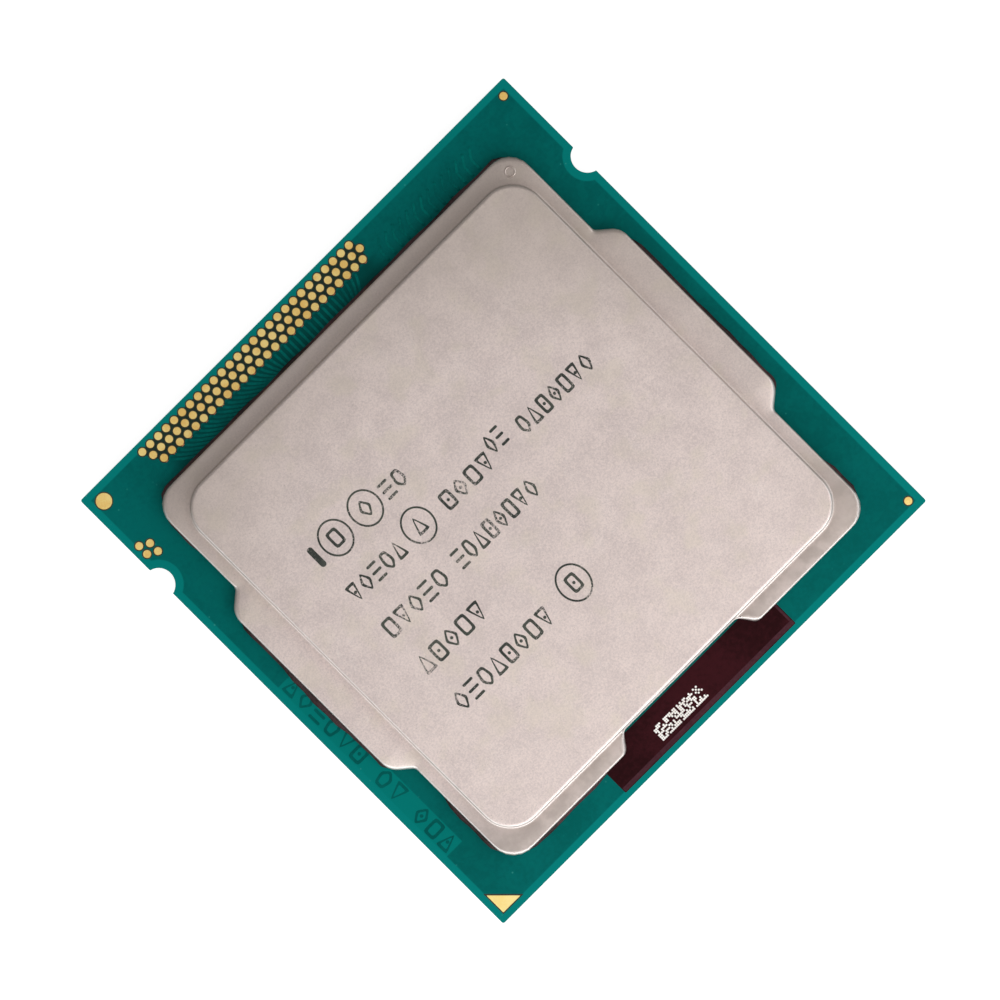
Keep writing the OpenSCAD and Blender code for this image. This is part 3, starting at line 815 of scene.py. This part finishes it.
def lid_marks():
    """Five lines of plain figures on the plateau, with a bar and four ringed figures among them."""
    z = (lid_top - 0.004, lid_top + 0.004)
    shapes = [stroke_bar(-10.9, -10.5, 4.95, 6.5, *z)]
    for index, x, y, radius in (
        (0, -9.0, 5.75, 1.25), (2, -6.4, 5.75, 1.25), (5, -4.8, 2.65, 1.25), (6, -0.5, -6.7, 1.3)
    ):
        shapes += ring_mark(index, (x, y), (1.1, radius), *z)
    for first, count, x_from, x_to, y_from, y_to in (
        (3, 2, -5.0, -3.2, 5.0, 6.2),
        (1, 5, -10.9, -6.4, 1.85, 3.1),
        (6, 4, -2.8, 1.3, 1.85, 3.1),
        (2, 2, 1.6, 3.0, 2.4, 3.7),
        (4, 7, 3.9, 10.05, 1.85, 3.1),
        (0, 5, -10.9, -5.8, -1.3, 0.0),
        (3, 8, -4.8, 2.1, -1.3, 0.0),
        (5, 5, -11.0, -5.6, -4.4, -3.1),
        (2, 8, -11.0, -2.9, -7.6, -6.3),
    ):
        shapes += mark_row(first, count, x_from, x_to, y_from, y_to, *z)
    return together(shapes)


add_piece("lid_marks", lid_marks(), mark_ink, smooth=False)


def strip_marks():
    """Larger plain figures under the lacquer of the left strip, turned a quarter: the row is laid
    out along X, and (x, y) then becomes (-y, -x)."""
    shapes = []
    for first, count, x_from, x_to in ((1, 6, -1.5, 5.3), (4, 2, 6.6, 8.7), (7, 3, 9.9, 13.1)):
        shapes += mark_row(first, count, x_from, x_to, 17.0, 18.2, -0.004, 0.003, stroke=0.2)
    points, faces = together(shapes)
    turned = np.stack([-points[:, 1], -points[:, 0], points[:, 2] + board_top], axis=1)
    return turned, [face[::-1] for face in faces]


add_piece("strip_marks", strip_marks(), strip_ink, smooth=False)

# ---------------------------------------------------------------- Label patch


def label_shape():
    """The dark patch, bevelled all round, with its thickness as in the frame."""
    low, high = node_box("label_patch")
    middle, size = (low + high)[:2] / 2, (high - low)[:2]
    return plate(rectangle(*size, 0.06) + middle, low[2], high[2], edge=0.006)


def label_rim_shape():
    """A slightly raised band along the patch's outer and right-hand edges."""
    low, high = node_box("label_patch")
    z = (high[2] - 0.002, high[2] + 0.006)
    lower = rectangle(high[0] - low[0] - 0.1, 0.3, 0.05) + [(low[0] + high[0]) / 2, low[1] + 0.2]
    side = rectangle(0.16, 2.3, 0.05) + [high[0] - 0.13, low[1] + 1.52]
    return together([plate(outline, *z, edge=0.003) for outline in (lower, side)])


def cell_shape():
    """A field of small square cells that carries no data. A cell is set where the last decimals of
    a sine of its column and row are small, and in the lowest row, which has gaps."""
    cell, first, filled = 0.13, np.array([-3.49, -17.68]), 0.56
    column, row = np.meshgrid(np.arange(31), np.arange(8), indexing="ij")
    lit = (np.abs(np.sin(column * 12.99 + row * 78.23) * 43758.55) % 1 < filled) | (row == 0)
    lit &= ~((row == 0) & (column % 9 == 4))
    places = first + np.stack([column[lit], row[lit]], axis=1) * cell
    square = rectangle(cell * 0.98, cell * 0.98, 0.03, steps=2)
    return repeated(plate(square, 0, 0.005), lift(places, node_box("label_patch")[1][2] - 0.001))


add_piece("label", label_shape(), patch_ink, ["label_patch"], smooth=False)
add_piece("label_rim", label_rim_shape(), rim_ink, smooth=False)
add_piece("label_cells", cell_shape(), white_ink, smooth=False)

# ---------------------------------------------------------------- Gold pads


def disc(radius, bottom, top, edge, sides=20):
    """A flat disc with a rounded upper edge."""
    circle = figure(0, 0, sides)
    profile = (
        (radius - 1.6 * edge, top),
        (radius - edge, top),
        (radius - 0.3 * edge, top - 0.3 * edge),
        (radius, top - edge),
        (radius, bottom),
    )
    return loft([lift(circle * r, z) for r, z in profile])


PAD_RADIUS = 0.255
PAD_PITCH = 0.704
ROW_STEP = PAD_PITCH * math.sin(math.pi / 3)
FIRST_CORNER_PAD = (-18.15, 14.13)
pad_top = node_box("test_pads")[1][2]


def pad_places():
    """Three staggered rows along the back edge, (count, 3): the last one is a pad shorter."""
    rows = []
    for row, count in enumerate((27, 27, 26)):
        x = FIRST_PAD[0] + (np.arange(count) + row / 2) * PAD_PITCH
        rows.append(np.stack([x, np.full(count, FIRST_PAD[1] - row * ROW_STEP)], axis=1))
    return lift(np.concatenate(rows), 0)


def corner_pad_places():
    """Four pads in two staggered columns near the board's corner, (4, 3)."""
    order = np.arange(4)
    x = FIRST_CORNER_PAD[0] + order % 2 * ROW_STEP
    return lift(np.stack([x, FIRST_CORNER_PAD[1] - order * PAD_PITCH / 2], axis=1), 0)


pad = disc(PAD_RADIUS, film_top, pad_top, 0.012)
large_fiducial = disc(0.52, film_top, pad_top, 0.015, 40)
small_fiducial = disc(0.26, film_top, pad_top, 0.012, 28)
for name, shape, places, node in (
    ("gold_test_pads", pad, pad_places(), "test_pads"),
    ("gold_corner_pads", pad, corner_pad_places(), "corner_test_pads"),
    ("gold_large_fiducial", large_fiducial, [(-17.72, 17.68, 0)], "fiducial_large"),
    ("gold_small_fiducials", small_fiducial, [(17.93, 17.93, 0), (17.93, -17.95, 0)], "fiducials_small"),
):
    add_piece(name, repeated(shape, places), gold, [node])


def triangle_shape():
    """The right-angled triangle at the first contact's corner, with slightly blunt corners. Its
    lower half, mirrored in the diagonal, is the upper one."""
    start, leg, cut = -18.25, 1.55, 0.04
    half = np.array([[cut, 0], [leg - 2 * cut, 0], [leg - 1.4 * cut, 0.6 * cut]])
    outline = np.concatenate([half, half[::-1, ::-1]]) + start
    return plate(outline, film_top, pad_top, edge=0.012)


add_piece("gold_triangle", triangle_shape(), pale_gold, ["pin_one_marker"], smooth=False)


def ribbon(path, width, bottom, top):
    """A low ridge of a width along a path (points, 2), narrower at its top."""
    along = np.gradient(path, axis=0)
    along /= np.linalg.norm(along, axis=1)[:, None]
    side = np.stack([-along[:, 1], along[:, 0]], axis=1) * width / 2
    profile = ((1, bottom), (0.6, top), (-0.6, top), (-1, bottom))
    return loft(np.stack([lift(path + side * share, z) for share, z in profile], axis=1)[::-1])


def fan_out(start):
    """The path of one trace from below the pads towards the lid: it leans to the right at the left
    end of the rows, x = start + lean * s**1.3, is straight in the middle and leans back at the
    right end."""
    s = np.linspace(0, 1, 9)
    lean = 1.5 * np.clip((-3.5 - start) / 3, 0, 1) - 0.7 * np.clip((start - 1.5) / 2, 0, 1)
    return np.stack([start + lean * s**1.3, 16.62 - 1.2 * s], axis=1)


def stray_trace(start):
    """The path of a trace beside the rows: up from the lid, then away at a slant."""
    s = np.linspace(0, 1, 9)
    return np.stack([start + 1.1 * np.maximum(s - 0.55, 0), 15.7 + 1.5 * s], axis=1)


def trace_shape():
    """The lacquer's low ridges over the traces between the pads and the lid and beside them."""
    paths = [fan_out(start) for start in -12.9 + 0.42 * np.arange(40)]
    paths += [stray_trace(start) for start in 5.6 + 0.62 * np.arange(14)]
    return together([ribbon(path, 0.2, board_top - 0.002, board_top + 0.006) for path in paths])


add_piece("trace_ridges", trace_shape(), trace_ink)

# ---------------------------------------------------------------- Capacitors

CAP_LARGE = (1.6, 0.85, 0.52)
CAP_SMALL = (1.0, 0.5, 0.45)
END_SHARE = 0.24


def capacitor_parts(size, foot):
    """The ceramic body and the pair of end caps, lying along X on z = 0."""
    length, width, height = size
    end, overlap, thinner = length * END_SHARE, 0.02, 0.05
    body = block((length - 2 * end + 2 * overlap, width - thinner, height - thinner), 0.03)
    middles = [((length - end) / 2 * side, 0, 0) for side in (-1, 1)]
    caps = repeated(block((end, width, height), 0.04, foot), middles)
    return repeated(body, [(0, 0, thinner / 2)]), caps


def add_capacitors(kind, size, places, foot, quarter=False):
    """All capacitors of one kind on the underside, as a piece of bodies and one of end caps."""
    body, caps = capacitor_parts(size, foot)
    for part, shape, material, slot, node in (
        ("bodies", body, ceramic, "capacitor_ceramic", "land_capacitor_bodies_"),
        ("end_caps", caps, tin, "tin_plating", "land_capacitor_terminals_"),
    ):
        copies = repeated(shape, places, quarter, flip=True)
        add_piece(f"{kind}_capacitor_{part}", copies, material, [node + kind])


def grid(xs, ys, z):
    """The places (count, 3) at every x and every y."""
    return [(x, y, z) for x in xs for y in ys]


under = node_box("solder_mask_bottom")[0][2]
large_places = grid((-6.2, -2.1, 2.1, 6.2), (-3.6, 0, 3.6), under)
small_places = grid((-9.4, -4.15, 0, 4.15, 9.4), (-5.4, -3, -1, 1, 3, 5.4), under)
add_capacitors("large", CAP_LARGE, large_places, foot=0.1)
add_capacitors("small", CAP_SMALL, small_places, foot=0.08, quarter=True)

# ---------------------------------------------------------------- Contact lands

LAND_PITCH = 0.9144
LANDS_ACROSS = 40


def land_places():
    """A grid of 40 by 40 lands without its middle of 24 by 16, the corners of both, three beside
    each key notch, and a seam of twelve above and below."""
    last = LANDS_ACROSS - 1
    i, j = np.meshgrid(np.arange(LANDS_ACROSS), np.arange(LANDS_ACROSS), indexing="ij")
    side, end = np.minimum(i, last - i), np.minimum(j, last - j)
    bare = (side >= 8) & (end >= 12)
    bare |= np.isin(side, (7, 8)) & np.isin(end, (11, 12))
    bare |= side + end < 3
    bare |= ((i == 19) & (j > 27)) | ((i == 20) & (j < 12))
    bare |= (side == 0) & (j >= 31) & (j <= 33)
    places = (np.stack([i, j], axis=-1)[~bare] - last / 2) * LAND_PITCH
    return lift(places, under)


lands = land_places()
on_left = lands[:, 0] < 0
land = disc(0.31, 0.0, 0.02, 0.012, 16)
probe = disc(PAD_RADIUS, 0.0, 0.02, 0.01, 16)
for name, shape, places, node in (
    ("left_lands", land, lands[on_left], "lands_left"),
    ("right_lands", land, lands[~on_left], "lands_right"),
    ("underside_pads", probe, grid(np.arange(-7, 8, 2), (-6.7, 6.7), under), "underside_test_pads"),
):
    add_piece(name, repeated(shape, places, flip=True), gold, [node])

# ---------------------------------------------------------------- Carried-over nodes

for node, material, slot in (
    ("substrate_core", laminate, "laminate_core"),
    ("core_vias", copper, "copper"),
    ("buildup_top", film, "buildup_film"),
    ("buildup_bottom", film, "buildup_film"),
    ("copper_plane_top", copper, "copper"),
    ("copper_plane_bottom", copper, "copper"),
    ("fanout_traces", copper, "copper"),
    ("solder_mask_top", lacquer, "solder_mask"),
    ("solder_mask_bottom", lacquer, "solder_mask"),
    ("silicon_die", silicon, "silicon"),
    ("solder_bumps", solder, "solder"),
    ("underfill", epoxy, "underfill_epoxy"),
    ("thermal_paste", paste, "thermal_paste"),
    ("die_capacitor_bodies", ceramic, "capacitor_ceramic"),
    ("die_capacitor_terminals", tin, "tin_plating"),
):
    finish_node(node, material)

# ---------------------------------------------------------------- Stage, light and camera


def add_floor():
    """A plain pale floor just under the lowest capacitor. It is lit through from below for the
    camera, and otherwise reflects as a grey one."""
    half, drop = 3000.0, 0.2
    corners = lift(rectangle(2 * half, 2 * half, 0, steps=1), -drop) / 1000
    mesh = bpy.data.meshes.new("floor")
    mesh.from_pydata(corners.tolist(), [], [(0, 1, 2, 3)])
    tones = (tone(186, 186, 186), tone(190, 190, 190))
    material, tree, shader, _, _ = new_material("Light table", tones, (0.7, 0.8), specular=0.0, size=20.0)
    shader.inputs["Emission Color"].default_value = (1, 1, 1, 1)
    seen = tree.put("ShaderNodeLightPath", output="Is Camera Ray")
    tree.set(shader, "Emission Strength", tree.math("MULTIPLY", seen, 0.85))
    mesh.materials.append(material)
    floor = bpy.data.objects.new("floor", mesh)
    bpy.context.scene.collection.objects.link(floor)


def add_softbox(name, place, size, radiance):
    """A rectangular soft light at a place in metres that faces the object. Its power is the wanted
    radiance times pi times its area."""
    light = bpy.data.lights.new(name, "AREA")
    light.shape = "RECTANGLE"
    light.size, light.size_y = size
    light.energy = radiance * math.pi * size[0] * size[1]
    lamp = bpy.data.objects.new(name, light)
    lamp.location = place
    lamp.rotation_mode = "QUATERNION"
    lamp.rotation_quaternion = Vector(place).to_track_quat("Z", "Y")
    lamp.visible_camera = False
    bpy.context.scene.collection.objects.link(lamp)


def add_world(low, high):
    """A surrounding light that is strongest from the front left and above and weak from behind. The
    camera sees it as an even white."""
    world = bpy.data.worlds.new("Studio")
    world.use_nodes = True
    tree = Tree(world.node_tree)
    background = next(node for node in tree.nodes if node.type == "BACKGROUND")
    toward = Vector((-0.3, -0.5, 0.8)).normalized()
    inputs = {0: tree.put("ShaderNodeTexCoord", output="Generated"), 1: toward}
    facing = tree.put("ShaderNodeVectorMath", {"operation": "DOT_PRODUCT"}, inputs, output="Value")
    seen = tree.put("ShaderNodeLightPath", output="Is Camera Ray")
    strength = tree.math("MAXIMUM", tree.ramp(facing, -0.2, 0.95, low, high), seen)
    tree.set(background, "Strength", strength)
    background.inputs["Color"].default_value = (1, 1, 1, 1)
    bpy.context.scene.world = world


def add_camera():
    """Looks straight down on the lid, with the board's corner at +X +Y uppermost. The view takes
    in a square of the board's top whose side is width."""
    width = 62.66
    camera = bpy.data.cameras.new("camera")
    camera.lens, camera.sensor_width = 250.0, 36.0
    camera.clip_start, camera.clip_end = 0.01, 20.0
    view = bpy.data.objects.new("camera", camera)
    distance = width / camera.sensor_width * camera.lens
    middle = Vector((-0.12, 0.18, board_top + distance)) / 1000
    half = math.sqrt(0.5)
    turn = Matrix(((half, half, 0), (-half, half, 0), (0, 0, 1)))
    view.matrix_world = Matrix.Translation(middle) @ turn.to_4x4()
    bpy.context.scene.collection.objects.link(view)
    bpy.context.scene.camera = view


add_floor()
add_world(0.3, 0.52)
add_softbox("front softbox", (-0.01, -0.09, 0.15), (0.2, 0.10), 1.75)
add_softbox("left softbox", (-0.22, -0.10, 0.07), (0.2, 0.1), 1.6)
add_softbox("right softbox", (0.17, -0.06, 0.13), (0.14, 0.1), 1.5)
add_softbox("low front softbox", (-0.03, -0.24, 0.08), (0.3, 0.1), 1.9)
add_camera()
bpy.context.scene.view_settings.view_transform = "Standard"
